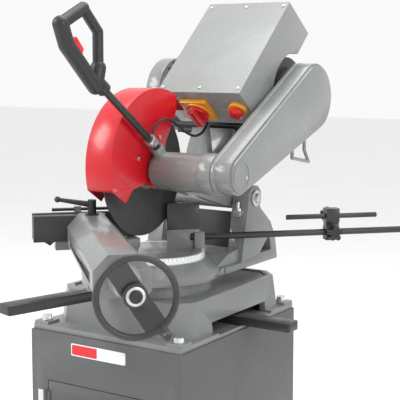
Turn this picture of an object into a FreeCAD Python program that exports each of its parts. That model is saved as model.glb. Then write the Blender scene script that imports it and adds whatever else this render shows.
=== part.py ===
"""Abrasive chop saw on a cabinet base, millimetres, +Z up.

Origin: on the floor under the swivel axis of the head. +X runs along the spindle to the belt side,
+Y runs to the back. The vise stands at 45 degrees: its own axes are s (outward, along the vise
screw) and w (along the fence), which is the row frame turned by -45 degrees about Z.
"""
import FreeCAD, Part
import math
import os
import Sketcher
from FreeCAD import Placement, Rotation, Vector

os.makedirs("parts", exist_ok=True)
doc = FreeCAD.newDocument("chop_saw")
sheet = doc.addObject("Spreadsheet::Sheet", "dims")

DIMENSIONS = [
    ("cabinet_half_width", 240), ("cabinet_front", -230), ("cabinet_back", 350),
    ("cabinet_top", 650), ("sheet_wall", 3), ("deck_top", 754), ("neck_rad", 150),
    ("neck_top", 782), ("pillar_rad", 80), ("ring_rad", 173), ("ring_top", 831),
    ("cone_top_rad", 140), ("table_rad", 134), ("table_top", 849), ("cheek_outer", 162),
    ("cheek_inner", 112), ("pivot_y", 258), ("pivot_z", 972), ("pivot_shaft_rad", 20),
    ("spindle_y", -52), ("spindle_z", 1072), ("spindle_rad", 15), ("nose_rad", 12.7),
    ("disc_rad", 175), ("disc_thick", 3.5), ("flange_rad", 50), ("housing_rad", 50),
    ("guard_rad", 198), ("guard_half", 40), ("guard_wall", 3), ("guard_y", -46), ("guard_z", 1088),
    ("motor_y", 365), ("motor_z", 1255), ("motor_rad", 117), ("cowl_rad", 109),
    ("spindle_pulley_rad", 40), ("motor_pulley_rad", 50), ("cover_in", 250), ("cover_out", 300),
    ("rod_x", 62), ("rod_rad", 9.5), ("screw_w", -174), ("screw_z", 908), ("screw_rad", 11),
    ("wheel_s", 797), ("wheel_rad", 78), ("rim_rad", 7), ("lever_width", 50), ("lever_thick", 24),
    ("stop_rod_rad", 9), ("finger_rod_rad", 7), ("run_gap", 0.05), ("slide_gap", 0.3),
]
for row, (alias, value) in enumerate(DIMENSIONS, start=1):
    sheet.set("A%d" % row, alias)
    sheet.set("B%d" % row, str(value))
    sheet.setAlias("B%d" % row, alias)
doc.recompute()

nodes = {}
X_AXIS, Z_AXIS = Vector(1, 0, 0), Vector(0, 0, 1)
VISE = Placement(Vector(0, 0, 0), Rotation(Z_AXIS, -45))


def dim(alias):
    """Value of one driving dimension."""
    return float(sheet.get(alias))


def box(low, high):
    size = [high[i] - low[i] for i in range(3)]
    return Part.makeBox(size[0], size[1], size[2], Vector(*low))


def rod(start, end, radius):
    start, end = Vector(*start), Vector(*end)
    return Part.makeCylinder(radius, (end - start).Length, start, end - start)


def ball(centre, radius):
    return Part.makeSphere(radius, Vector(*centre))


def tube(start, end, outer, inner):
    return rod(start, end, outer).cut(rod(start, end, inner))


def prism(points, direction):
    """Straight extrusion of a closed polygon."""
    corners = [Vector(*p) for p in points]
    face = Part.Face(Part.makePolygon(corners + corners[:1]))
    return face.extrude(direction)


def prism_x(outline, low, high):
    return prism([(low, y, z) for y, z in outline], Vector(high - low, 0, 0))


def prism_z(outline, low, high):
    return prism([(x, y, low) for x, y in outline], Vector(0, 0, high - low))


def hull_x(circle_a, circle_b, low, high):
    """Plate along X whose outline wraps two circles (y, z, radius) with straight tangents."""
    ya, za, ra = circle_a
    yb, zb, rb = circle_b
    gap = math.hypot(yb - ya, zb - za)
    lean = math.atan2(zb - za, yb - ya)
    turn = math.acos((ra - rb) / gap)
    strip = []
    for (y, z, r), side in ((circle_a, 1), (circle_b, 1), (circle_b, -1), (circle_a, -1)):
        strip.append((y + r * math.cos(lean + side * turn), z + r * math.sin(lean + side * turn)))
    ends = [rod((low, y, z), (high, y, z), r) for y, z, r in (circle_a, circle_b)]
    return prism_x(strip, low, high).fuse(ends).removeSplitter()


def hexagon(start, end, across_flats):
    """Hexagon bar from start to end."""
    start, end = Vector(*start), Vector(*end)
    corner = across_flats / math.sqrt(3)
    turn = Rotation(Z_AXIS, end - start)
    ring = [Vector(corner * math.cos(math.radians(60 * i)), corner * math.sin(math.radians(60 * i)), 0)
            for i in range(6)]
    ring = [start + turn.multVec(p) for p in ring]
    return Part.Face(Part.makePolygon(ring + ring[:1])).extrude(end - start)


def merge(first, *others):
    return first.fuse(list(others)).removeSplitter()


def feature(name, shape, place=None):
    """Sub-part whose shape is worked out here from the sheet."""
    item = doc.addObject("Part::Feature", name)
    item.Shape = shape
    item.Label = name
    if place is not None:
        item.Placement = place
    nodes[name] = item
    return item


def bound_cylinder(name, radius, length, start, direction=X_AXIS):
    """Cylinder whose radius and length are expressions on the sheet."""
    item = doc.addObject("Part::Cylinder", name)
    item.setExpression("Radius", radius)
    item.setExpression("Height", length)
    item.Placement = Placement(Vector(*start), Rotation(Z_AXIS, direction))
    return item


def bound_cut(name, base, tool):
    item = doc.addObject("Part::Cut", name)
    item.Base = base
    item.Tool = tool
    item.Label = name
    nodes[name] = item
    return item


def bound_fuse(name, parts):
    item = doc.addObject("Part::MultiFuse", name)
    item.Shapes = parts
    item.Label = name
    nodes[name] = item
    return item


def plane_of(body, role):
    return next(o for o in body.Origin.OriginFeatures if o.Role == role)


RUN = dim("run_gap")
GAP = dim("slide_gap")
PIVOT = (dim("pivot_y"), dim("pivot_z"))
SPINDLE = (dim("spindle_y"), dim("spindle_z"))
MOTOR = (dim("motor_y"), dim("motor_z"))


def on(axis_yz, x):
    """Point at x on an axis along X."""
    return (x, axis_yz[0], axis_yz[1])


# ---------------------------------------------------------------- cabinet and base casting
HALF = dim("cabinet_half_width")
FRONT, BACK, TOP, WALL = dim("cabinet_front"), dim("cabinet_back"), dim("cabinet_top"), dim("sheet_wall")
DOOR = {"x": 185, "low": 90, "high": 520}
BOLT_X, BOLT_FRONT, BOLT_BACK, BOLT_RAD = 211, -200, 325, 8
BOLTS = [(x, y) for x in (-BOLT_X, BOLT_X) for y in (BOLT_FRONT, BOLT_BACK)]


def cabinet_shell():
    shell = box((-HALF, FRONT, 0), (HALF, BACK, TOP))
    shell = shell.cut(box((-HALF + WALL, FRONT + WALL, WALL), (HALF - WALL, BACK - WALL, TOP - WALL)))
    shell = shell.cut(box((-DOOR["x"], FRONT - 1, DOOR["low"]), (DOOR["x"], FRONT + WALL + 1, DOOR["high"])))
    for x, y in BOLTS:
        shell = shell.cut(rod((x, y, TOP - 20), (x, y, TOP + 5), BOLT_RAD + 0.5))
    return shell


def cabinet_door():
    """Folded pan that sits in the opening, with a bent pull along its free edge."""
    x, low, high = DOOR["x"] - 2, DOOR["low"] + 2, DOOR["high"] - 2
    door = box((-x, FRONT, low), (x, FRONT + 20, high))
    door = door.cut(box((-x + 2, FRONT + 2, low + 2), (x - 2, FRONT + 21, high - 2)))
    pull = box((x - 40, FRONT - 22, 270), (x - 25, FRONT - 16, 350))
    posts = [rod((x - 32.5, FRONT - 17, z), (x - 32.5, FRONT + 1, z), 5) for z in (278, 342)]
    body = merge(door, pull, *posts)
    for start in HINGE_LOW:
        knuckle = rod((HINGE[0], HINGE[1], start + 31), (HINGE[0], HINGE[1], start + 60), 5)
        leaf = box((HINGE[0], FRONT - 4.5, start + 31), (-x + 6, FRONT - 0.3, start + 60))
        foot = box((-x, FRONT - 4.5, start + 31), (-x + 6, FRONT + 1, start + 60))
        body = merge(body, knuckle, leaf, foot)
    return body.cut(rod((HINGE[0], HINGE[1], low), (HINGE[0], HINGE[1], high), 2.5 + RUN))


HINGE = (-DOOR["x"] - 6, FRONT - 6)
HINGE_LOW = (130, 430)


def door_hinges():
    """Two butt hinges on the cabinet face: fixed leaves with their pins."""
    pieces = []
    for start in HINGE_LOW:
        leaf = box((HINGE[0] - 26, FRONT - 3, start), (HINGE[0] - 6, FRONT, start + 60))
        barrel = rod((HINGE[0], HINGE[1], start), (HINGE[0], HINGE[1], start + 30), 5)
        web = box((HINGE[0] - 7, FRONT - 5, start), (HINGE[0] + 1, FRONT, start + 30))
        pin = rod((HINGE[0], HINGE[1], start + 5), (HINGE[0], HINGE[1], start + 60), 2.5)
        pieces.append(merge(leaf, barrel, web, pin))
    return Part.makeCompound(pieces)


DECK, NECK = dim("deck_top"), dim("neck_top")
PILLAR = dim("pillar_rad")
LEFT_PIVOT = (0, -111)
LEFT_TURN = 253.8
RIGHT_PIVOT = (40, 82)
LEVER_HALF = dim("lever_width") / 2
LEVER_THICK = dim("lever_thick")
LEFT_LOW, RIGHT_LOW = 755.9, 661


def chamfered_plan(x, front, back, cut):
    return [(-x + cut, front), (x - cut, front), (x, front + cut), (x, back - cut),
            (x - cut, back), (-x + cut, back), (-x, back - cut), (-x, front + cut)]


def base_casting():
    flange = box((-235, -225, TOP), (235, BACK, TOP + 15))
    corner = 46
    low = [Vector(x, y, TOP + 10) for x, y in chamfered_plan(217, -176, 336, corner)]
    high = [Vector(x, y, DECK) for x, y in chamfered_plan(206, -165, 326, corner - 4)]
    walls = Part.makeLoft([Part.makePolygon(low + low[:1]), Part.makePolygon(high + high[:1])], True, True)
    neck = Part.makeCylinder(dim("neck_rad"), NECK - DECK + 1, Vector(0, 0, DECK - 1))
    pads = [box((x - 23, y - 23, TOP + 10), (x + 23, y + 23, TOP + 22)) for x, y in BOLTS]
    body = merge(flange, walls, neck, *pads)
    body = body.cut(box((-196, -152, TOP + 10), (196, 312, DECK - 14)).cut(
        Part.makeCompound([rod((x, y, TOP), (x, y, DECK), 76) for x, y in BOLTS])))
    recess = prism_z(chamfered_plan(192, -151, 312, corner - 4), DECK - 4, DECK + 1)
    recess = recess.cut(Part.makeCylinder(dim("neck_rad"), 40, Vector(0, 0, DECK - 20)))
    body = body.cut(recess)
    body = body.cut(Part.makeCylinder(PILLAR, 60, Vector(0, 0, DECK - 25)))
    body = body.cut(box((180, -52, TOP + 10), (240, 225, TOP + 40)))
    fan = [(-36, -78), (36, -78), (72, -160), (-108, -160)]
    body = body.cut(prism_z(fan, DECK, NECK + 1))
    for x, y in BOLTS:
        body = body.cut(rod((x, y, TOP - 5), (x, y, DECK + 60), BOLT_RAD + 0.5))
        body = body.cut(rod((x, y, TOP + 22), (x, y, DECK + 60), 19))
    right_stud = rod((RIGHT_PIVOT[0], RIGHT_PIVOT[1], TOP), (RIGHT_PIVOT[0], RIGHT_PIVOT[1], TOP + 60), 16)
    left_stud = rod((LEFT_PIVOT[0], LEFT_PIVOT[1], DECK - 3), (LEFT_PIVOT[0], LEFT_PIVOT[1], NECK - 1), 12)
    return merge(body, right_stud, left_stud)


def hold_down_bolts():
    pieces = []
    for x, y in BOLTS:
        shank = rod((x, y, TOP - 22), (x, y, TOP + 24), BOLT_RAD)
        washer = rod((x, y, TOP + 22), (x, y, TOP + 25), 15)
        pieces.append(merge(shank, washer, hexagon((x, y, TOP + 25), (x, y, TOP + 35), 24)))
    return Part.makeCompound(pieces)


def flat_lever(length, hole):
    """Flat bar along +X from a round eye at the origin to a square end with broken corners."""
    snub = 4
    bar = prism_z([(0, -LEVER_HALF), (length - snub, -LEVER_HALF), (length, snub - LEVER_HALF),
                   (length, LEVER_HALF - snub), (length - snub, LEVER_HALF), (0, LEVER_HALF)], 0, LEVER_THICK)
    eye = rod((0, 0, 0), (0, 0, LEVER_THICK), LEVER_HALF)
    return merge(bar, eye).cut(rod((0, 0, -1), (0, 0, LEVER_THICK + 1), hole))


feature("cabinet_shell", cabinet_shell())
feature("cabinet_door", cabinet_door())
feature("door_hinges", door_hinges())
feature("base_casting", base_casting())
feature("hold_down_bolts", hold_down_bolts())
feature("left_lock_lever", flat_lever(379, 12 + RUN),
        Placement(Vector(LEFT_PIVOT[0], LEFT_PIVOT[1], LEFT_LOW), Rotation(Z_AXIS, LEFT_TURN)))
feature("right_lock_lever", flat_lever(340, 16 + RUN),
        Placement(Vector(RIGHT_PIVOT[0], RIGHT_PIVOT[1], RIGHT_LOW), Rotation(Z_AXIS, 0)))

# ---------------------------------------------------------------- swivel column (turns about Z)
RING_LOW = NECK + 0.2
CHEEK_OUT, CHEEK_IN = dim("cheek_outer"), dim("cheek_inner")
SHAFT = dim("pivot_shaft_rad")
COLUMN_SIDE = [(100, 800), (185, 800), (224, 983), (PIVOT[0], PIVOT[1] + 30), (291, 940), (349, 894),
               (370, 860), (379, 838), (389, 787), (389, RING_LOW), (100, RING_LOW)]


def swivel_column():
    ring = Part.makeCylinder(dim("ring_rad"), 18, Vector(0, 0, RING_LOW))
    cone = Part.makeCone(dim("ring_rad"), dim("cone_top_rad"), dim("ring_top") - RING_LOW - 18,
                         Vector(0, 0, RING_LOW + 18))
    arms = box((-158, 0, RING_LOW), (158, 340, 800))
    wedge = prism_x([(60, 799), (190, 799), (190, 838), (130, 830)], -150, 150)
    column = prism_x(COLUMN_SIDE, -CHEEK_OUT, CHEEK_OUT)
    knuckle = rod(on(PIVOT, -CHEEK_OUT), on(PIVOT, CHEEK_OUT), 36)
    body = merge(ring, cone, arms, wedge, column, knuckle)
    body = body.cut(box((-CHEEK_IN, 150, 896), (CHEEK_IN, 420, 1100)))
    body = body.cut(box((-125, 232, RING_LOW - 1), (125, 370, 876)))
    window = [(286, 812), (352, 812), (343, 858)]
    body = body.cut(prism_x(window, -CHEEK_OUT - 1, CHEEK_OUT + 1))
    body = body.cut(Part.makeCylinder(PILLAR + RUN, 120, Vector(0, 0, RING_LOW - 5)))
    body = body.cut(Part.makeCylinder(dim("cone_top_rad") + 40, 40, Vector(0, 0, dim("ring_top"))))
    return body.cut(rod(on(PIVOT, -CHEEK_OUT - 1), on(PIVOT, CHEEK_OUT + 1), SHAFT))


def angle_pointer():
    """Bright finger on the ring's front that reads the graduated scale."""
    reach = dim("ring_rad") - 2
    pin = rod((0, -reach, 806), (0, -reach - 9, 806), 4)
    blade = prism_x([(-reach - 9, 800), (-reach - 5, 800), (-143, 838), (-148, 838)], -5, 5)
    return merge(pin, blade).cut(nodes["swivel_column"].Shape)


def pivot_shaft():
    shaft = rod(on(PIVOT, -CHEEK_OUT - 6), on(PIVOT, CHEEK_OUT + 6), SHAFT)
    caps = []
    for side in (-1, 1):
        caps.append(rod(on(PIVOT, side * CHEEK_OUT), on(PIVOT, side * (CHEEK_OUT + 6)), 23))
        caps.append(hexagon(on(PIVOT, side * (CHEEK_OUT + 5)), on(PIVOT, side * (CHEEK_OUT + 13)), 24))
    return merge(shaft, *caps)


def depth_stop():
    """Set screw with lock nut and a plastic buffer, standing on the right cheek's front shoulder."""
    foot = box((128, 196, 925), (150, 222, 941))
    screw = rod((139, 203, 936), (139, 203, 966), 5)
    nut = hexagon((139, 203, 941), (139, 203, 948), 16)
    return merge(foot, screw, nut).cut(nodes["swivel_column"].Shape)


def return_spring():
    """Torsion spring: flat coils round the shaft in the recess of the head's hub."""
    coils = [Part.makeTorus(25.5, 2.5, Vector(*on(PIVOT, -96 + 4.9 * i)), X_AXIS) for i in range(7)]
    return merge(coils[0], *coils[1:])


feature("swivel_column", swivel_column())
feature("angle_pointer", angle_pointer())
feature("pivot_shaft", pivot_shaft())
feature("depth_stop", depth_stop())
feature("return_spring", return_spring())


def swarf_shield():
    """Black sheet on the column's front, between the cheeks."""
    lean = (224 - 185) / (983 - 800)
    corners = ((836, -2.2), (836, -0.2), (936, -0.2), (936, -2.2))
    outline = [(185 + lean * (z - 800) + y, z) for z, y in corners]
    return prism_x(outline, -CHEEK_IN, CHEEK_IN)


feature("swarf_shield", swarf_shield())

# ---------------------------------------------------------------- head arm and guard
HOUSING = dim("housing_rad")
BEARING_RAD = 31
BEARINGS = ((68, 90), (206, 228))
COVER_IN, COVER_OUT = dim("cover_in"), dim("cover_out")
PLATE_LOW = 237
ROD_X = dim("rod_x")
ROD_LOW = (ROD_X, -58, 1121)
ROD_HIGH = (ROD_X, -318, 1303)


def head_arm():
    """Cast arm: pivot hub, side web to the spindle housing and the saddle under the motor."""
    hub = rod(on(PIVOT, -104), on(PIVOT, 104), 34)
    web = hull_x((PIVOT[0], PIVOT[1], 33), (SPINDLE[0], SPINDLE[1], 44), 64, 104)
    housing = rod(on(SPINDLE, 60), on(SPINDLE, PLATE_LOW), HOUSING)
    collar = rod(on(SPINDLE, 198), on(SPINDLE, PLATE_LOW), 53)
    nose = rod(on(SPINDLE, 34), on(SPINDLE, 61), 30)
    clamp = rod(on(SPINDLE, 48), on(SPINDLE, 76), 44)
    socket = rod((62, SPINDLE[0] + 6, SPINDLE[1] + 20), (62, -78, 1136), 17)
    saddle = prism_x([(228, 975), (285, 958), (392, 1128), (392, 1175), (300, 1175), (262, 1100)], -70, 70)
    saddle = saddle.cut(rod(on(MOTOR, -80), on(MOTOR, 80), dim("motor_rad") + 0.2))
    strut = prism_x([(196, 1199), (216, 1217), (268, 1000), (242, 985)], 8, 30)
    body = merge(hub, web, housing, collar, nose, clamp, socket, saddle, strut)
    body = body.cut(rod(on(SPINDLE, 30), on(SPINDLE, 250), 24))
    for low, high in BEARINGS:
        body = body.cut(rod(on(SPINDLE, low), on(SPINDLE, high), BEARING_RAD))
    body = body.cut(rod(on(PIVOT, -110), on(PIVOT, 110), SHAFT + RUN))
    body = body.cut(rod(on(PIVOT, -105), on(PIVOT, -60), 30))
    body = body.cut(box((58, SPINDLE[0] - 60, SPINDLE[1] - 60), (60.5, SPINDLE[0] - 24, SPINDLE[1] + 10)))
    return body.cut(rod(ROD_LOW, ROD_HIGH, dim("rod_rad")))


def spindle_bearings():
    rings = [tube(on(SPINDLE, low), on(SPINDLE, high), BEARING_RAD, dim("spindle_rad") + RUN)
             for low, high in BEARINGS]
    return Part.makeCompound(rings)


GUARD = (dim("guard_y"), dim("guard_z"))
GUARD_CUT = [(-260, 1033), (-236, 1033), (-183, 999), (-151, 1031), (-104, 1040), (-20, 1040),
             (40, 1062), (70, 1110), (96, 1200), (96, 1300), (260, 1300), (260, 800), (-260, 800)]
SIDE_CUT = [(-20, 1030), (-6, 1143), (14, 1173), (42, 1220), (50, 1300), (200, 1300), (200, 1000)]


def blade_guard():
    """Drum open below: the right wall stops at the spindle, the rim and left wall run on behind it."""
    radius, half, wall = dim("guard_rad"), dim("guard_half"), dim("guard_wall")
    shell = rod(on(GUARD, -half), on(GUARD, half), radius)
    shell = shell.cut(rod(on(GUARD, -half + wall), on(GUARD, half - wall), radius - wall))
    shell = shell.cut(prism_x(GUARD_CUT, -half - 1, half + 1))
    shell = shell.cut(prism_x(SIDE_CUT, half - wall - 8, half + 1))
    hub = rod(on(SPINDLE, half - wall), on(SPINDLE, half), 48)
    shell = merge(shell, hub)
    return shell.cut(rod(on(SPINDLE, half - 10), on(SPINDLE, half + 10), 30 + RUN))


feature("head_arm", head_arm())
feature("spindle_bearings", spindle_bearings())
feature("blade_guard", blade_guard())

# ---------------------------------------------------------------- handle, grip and trigger
LIMB_BASE = (ROD_X, -330, 1296)
LIMB_FRONT = (ROD_X, -432, 1392)
LIMB_TOP_FRONT = (ROD_X, -452, 1440)
LIMB_TOP_REAR = (ROD_X, -372, 1478)
LIMB_REAR = (ROD_X, -318, 1425)
LIMB_REAR_LOW = (ROD_X, -318, 1340)


TRIGGER_PULL = Vector(0, -0.685, -0.728)
TRIGGER_TRAVEL = 4


def capsule(start, end, radius):
    return merge(rod(start, end, radius), ball(start, radius), ball(end, radius))


def grip_body():
    """Closed D grip: heavy front limb that is held, and a slim rear limb."""
    loop = [(LIMB_BASE, LIMB_FRONT, 19), (LIMB_FRONT, LIMB_TOP_FRONT, 19),
            (LIMB_TOP_FRONT, LIMB_TOP_REAR, 15), (LIMB_TOP_REAR, LIMB_REAR, 13),
            (LIMB_REAR, LIMB_REAR_LOW, 13), (LIMB_REAR_LOW, LIMB_BASE, 19)]
    body = capsule(*loop[0])
    for start, end, radius in loop[1:]:
        body = body.fuse(capsule(start, end, radius))
    body = body.fuse(rod((ROD_X, -296, 1288), (ROD_X, -330, 1312), 18))
    body = body.cut(rod(ROD_LOW, ROD_HIGH, dim("rod_rad")))
    slot = [trigger_block(1.0) for _ in range(3)]
    for step, piece in enumerate(slot):
        piece.translate(TRIGGER_PULL * (TRIGGER_TRAVEL + 1) * step / 2)
    return body.cut(merge(*slot))


def trigger_block(extra):
    """Trigger on the inner side of the front limb; extra widens it into its slot."""
    side = [(-392 + extra, 1372 - extra), (-418 + extra, 1400), (-428 - extra, 1392),
            (-428 - extra, 1362), (-404, 1348 - extra)]
    return prism_x([(y + 14, z + 12) for y, z in side], ROD_X - 7 - extra, ROD_X + 7 + extra)


feature("grip_body", grip_body())
feature("trigger", trigger_block(0.0))
feature("handle_rod", rod(ROD_LOW, ROD_HIGH, dim("rod_rad")))


def rounded_path(points):
    """Runs joined by tangent arcs; each radius is 0.45 of the shorter run over tan(half turn)."""
    points = [Vector(*p) for p in points]
    edges, start = [], points[0]
    for before, corner, after in zip(points, points[1:], points[2:]):
        into, out = (corner - before), (after - corner)
        run = min(into.Length, out.Length)
        into.normalize()
        out.normalize()
        turn = math.acos(max(-1.0, min(1.0, into.dot(out))))
        cut = 0.45 * run
        radius = cut / math.tan(turn / 2)
        bisector = out - into
        bisector.normalize()
        centre = corner + bisector * (radius / math.cos(turn / 2))
        enter, leave = corner - into * cut, corner + out * cut
        middle = centre - bisector * radius
        edges.append(Part.LineSegment(start, enter).toShape())
        edges.append(Part.Arc(enter, middle, leave).toShape())
        print("cable radius", round(radius, 1))
        start = leave
    edges.append(Part.LineSegment(start, points[-1]).toShape())
    return Part.Wire(edges)


CABLE_RAD = 3.5
CABLE = [(62, -101, 1166.5), (62, -93, 1183), (61, -72, 1198), (59, -42, 1206), (55.5, -6, 1201),
         (52, 36, 1184), (49, 80, 1162), (48, 124, 1149), (47, 164, 1157),
         (46.5, 190, 1181), (46.5, 200, 1205.8)]


def handle_cable():
    path = rounded_path(CABLE)
    start = Vector(*CABLE[0])
    circle = Part.Wire([Part.Circle(start, Vector(*CABLE[1]) - start, CABLE_RAD).toShape()])
    cable = path.makePipeShell([circle], True, True)
    print("cable volume ratio", cable.Volume / (path.Length * math.pi * CABLE_RAD ** 2))
    return cable


def cable_gland():
    """Clamp round the handle rod that lets the cable out."""
    along = Vector(0, -260, 182)
    along.normalize()
    centre = Vector(ROD_X, -103, 1152.5)
    ring = Part.makeCylinder(15, 22, centre - along * 11, along)
    neck = rod((ROD_X, -104, 1152), CABLE[0], 7)
    gland = merge(ring, neck).cut(rod(ROD_LOW, ROD_HIGH, dim("rod_rad")))
    return gland.cut(nodes["handle_cable"].Shape)


feature("handle_cable", handle_cable())
feature("cable_gland", cable_gland())

# ---------------------------------------------------------------- control box
BOX_LEFT, BOX_RIGHT = -35, 225
BOX_SIDE = [(63, 1271), (179, 1187), (454, 1435), (338, 1519)]
PANEL_UP = Vector(0, BOX_SIDE[0][0] - BOX_SIDE[1][0], BOX_SIDE[0][1] - BOX_SIDE[1][1]).normalize()
PANEL_OUT = X_AXIS.cross(PANEL_UP)
LID_ALONG = Vector(0, BOX_SIDE[3][0] - BOX_SIDE[0][0], BOX_SIDE[3][1] - BOX_SIDE[0][1]).normalize()
LID_OUT = X_AXIS.cross(LID_ALONG)


def panel_point(x, up, out=0.0):
    """Point on the front panel: up from its lower edge, out from its face."""
    foot = Vector(x, BOX_SIDE[1][0], BOX_SIDE[1][1])
    return foot + PANEL_UP * up + PANEL_OUT * out


def inset(outline, depth):
    """Quadrilateral moved inwards on every side by about depth."""
    middle = (sum(p[0] for p in outline) / 4, sum(p[1] for p in outline) / 4)
    slope = math.atan2(outline[2][1] - outline[1][1], outline[2][0] - outline[1][0])
    along, across = (math.cos(slope), math.sin(slope)), (-math.sin(slope), math.cos(slope))
    moved = []
    for y, z in outline:
        dy, dz = y - middle[0], z - middle[1]
        a = dy * along[0] + dz * along[1]
        b = dy * across[0] + dz * across[1]
        a -= math.copysign(depth, a)
        b -= math.copysign(depth, b)
        moved.append((middle[0] + a * along[0] + b * across[0], middle[1] + a * along[1] + b * across[1]))
    return moved


def control_box():
    """Folded steel case, open on its upper face where the lid goes, hollowed for the motor below."""
    shell = prism_x(BOX_SIDE, BOX_LEFT, BOX_RIGHT)
    inner = prism_x(inset(BOX_SIDE, 3), BOX_LEFT + 3, BOX_RIGHT - 3)
    mouth = inner.copy()
    mouth.translate(LID_OUT * 4)
    motor_room = rod(on(MOTOR, BOX_LEFT - 5), on(MOTOR, BOX_RIGHT + 5), 123)
    jacket = rod(on(MOTOR, BOX_LEFT), on(MOTOR, BOX_RIGHT), 126).common(shell)
    shell = shell.cut(merge(inner, mouth)).fuse(jacket).cut(motor_room)
    for at, radius in ((SWITCH_AT, 9), (ESTOP_AT, 12)):
        shell = shell.cut(Part.makeCylinder(radius, 20, panel_point(at[0], at[1], 10), PANEL_OUT * -1))
    return shell.cut(nodes["handle_cable"].Shape)


def box_lid():
    low, high = BOX_SIDE[0], BOX_SIDE[3]
    edge = Vector(0, low[0], low[1]), Vector(0, high[0], high[1])
    corners = [Vector(BOX_LEFT - 1, edge[0].y, edge[0].z), Vector(BOX_RIGHT + 1, edge[0].y, edge[0].z),
               Vector(BOX_RIGHT + 1, edge[1].y, edge[1].z), Vector(BOX_LEFT - 1, edge[1].y, edge[1].z)]
    return Part.Face(Part.makePolygon(corners + corners[:1])).extrude(LID_OUT * 3)


def lid_point(x, share, out=0.0):
    low, high = Vector(x, *BOX_SIDE[0]), Vector(x, *BOX_SIDE[3])
    return low + (high - low) * share + LID_OUT * out


SWITCH_AT, ESTOP_AT = (65, 71), (190, 78)


def switch_plate():
    plate = []
    for x, up in ((25, 30), (105, 30), (105, 112), (25, 112)):
        plate.append(panel_point(x, up))
    plate = Part.Face(Part.makePolygon(plate + plate[:1])).extrude(PANEL_OUT * 12)
    bezel = Part.makeCylinder(38, 6, panel_point(SWITCH_AT[0], SWITCH_AT[1], 11), PANEL_OUT)
    plate = merge(plate, bezel)
    return plate.cut(Part.makeCylinder(8, 60, panel_point(SWITCH_AT[0], SWITCH_AT[1], 40), PANEL_OUT * -1))


def switch_knob():
    at = panel_point(SWITCH_AT[0], SWITCH_AT[1], 17.3)
    dial = Part.makeCylinder(34, 9, at, PANEL_OUT)
    flank = PANEL_UP.cross(PANEL_OUT)
    low = at + PANEL_OUT * 7
    corners = [low + flank * a + PANEL_UP * b for a, b in ((-9, -33), (9, -33), (9, 33), (-9, 33))]
    handle = Part.Face(Part.makePolygon(corners + corners[:1])).extrude(PANEL_OUT * 17)
    stem = Part.makeCylinder(8 - RUN, 26, at + PANEL_OUT * 1, PANEL_OUT * -1)
    return merge(dial, handle, stem)


def estop_collar():
    ring = Part.makeCylinder(26, 10, panel_point(ESTOP_AT[0], ESTOP_AT[1]), PANEL_OUT)
    return ring.cut(Part.makeCylinder(11, 30, panel_point(ESTOP_AT[0], ESTOP_AT[1], 20), PANEL_OUT * -1))


def estop_button():
    at = panel_point(ESTOP_AT[0], ESTOP_AT[1], 16.5)
    head = Part.makeCylinder(20, 7, at, PANEL_OUT)
    dome = Part.makeCone(20, 15, 5, at + PANEL_OUT * 7, PANEL_OUT)
    stem = Part.makeCylinder(11 - RUN, 16, at, PANEL_OUT * -1)
    return merge(head, dome, stem)


def contactor():
    """Motor contactor on the box floor behind the panel."""
    base = lid_point(150, 0.45, -64)
    side = X_AXIS * 58
    depth = LID_OUT * 40
    length = LID_ALONG * 74
    corners = [base, base + side, base + side + length, base + length]
    block = Part.Face(Part.makePolygon(corners + corners[:1])).extrude(depth)
    return block


feature("control_box", control_box())
feature("box_lid", box_lid())
feature("switch_plate", switch_plate())
feature("switch_knob", switch_knob())
feature("estop_collar", estop_collar())
feature("estop_button", estop_button())
feature("contactor", contactor())

# ---------------------------------------------------------------- motor, plate and belt drive
MOTOR_LEFT, MOTOR_RIGHT = -165, 200
COVER_SMALL, COVER_LARGE = 50, 94
BELT_X = (263, 277)
BELT_WIDTH = 9


def motor_body():
    """Hollow finned frame with a terminal foot, closed by its right end shield."""
    body = rod(on(MOTOR, MOTOR_LEFT), on(MOTOR, MOTOR_RIGHT), 108)
    fins = []
    for i in range(24):
        fin = box((MOTOR_LEFT + 14, MOTOR[0] - 1.6, MOTOR[1] + 100),
                  (MOTOR_RIGHT - 22, MOTOR[0] + 1.6, MOTOR[1] + dim("motor_rad")))
        fin.rotate(Vector(*on(MOTOR, 0)), X_AXIS, 15 * i)
        fins.append(fin)
    shield = rod(on(MOTOR, MOTOR_RIGHT - 20), on(MOTOR, MOTOR_RIGHT), 112)
    flange = rod(on(MOTOR, MOTOR_RIGHT - 1), on(MOTOR, PLATE_LOW), 84)
    body = merge(body, shield, flange, *fins)
    body = body.cut(rod(on(MOTOR, MOTOR_LEFT - 1), on(MOTOR, MOTOR_RIGHT - 16), 98))
    return body.cut(rod(on(MOTOR, MOTOR_RIGHT - 30), on(MOTOR, 250), 14 + RUN))


def motor_cowl():
    """Fan cowl with ring slots in its end."""
    radius = dim("cowl_rad")
    cowl = rod(on(MOTOR, -212), on(MOTOR, MOTOR_LEFT), radius)
    cowl = cowl.cut(rod(on(MOTOR, -210), on(MOTOR, MOTOR_LEFT + 1), radius - 2))
    for inner, outer in ((30, 38), (48, 56), (66, 74)):
        slot = tube(on(MOTOR, -214), on(MOTOR, -208), outer, inner)
        bars = [box((-215, MOTOR[0] - 100, MOTOR[1] - 4), (-205, MOTOR[0] + 100, MOTOR[1] + 4)),
                box((-215, MOTOR[0] - 4, MOTOR[1] - 100), (-205, MOTOR[0] + 4, MOTOR[1] + 100))]
        cowl = cowl.cut(slot.cut(bars))
    return cowl


def motor_plate():
    """Plate that joins the spindle housing to the motor flange and backs the belt cover."""
    plate = hull_x((SPINDLE[0], SPINDLE[1], COVER_SMALL + 1), (MOTOR[0], MOTOR[1], COVER_LARGE + 1),
                   PLATE_LOW, COVER_IN)
    plate = plate.cut(rod(on(SPINDLE, PLATE_LOW - 1), on(SPINDLE, COVER_IN + 1), 24))
    return plate.cut(rod(on(MOTOR, PLATE_LOW - 1), on(MOTOR, COVER_IN + 1), 30))


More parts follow.
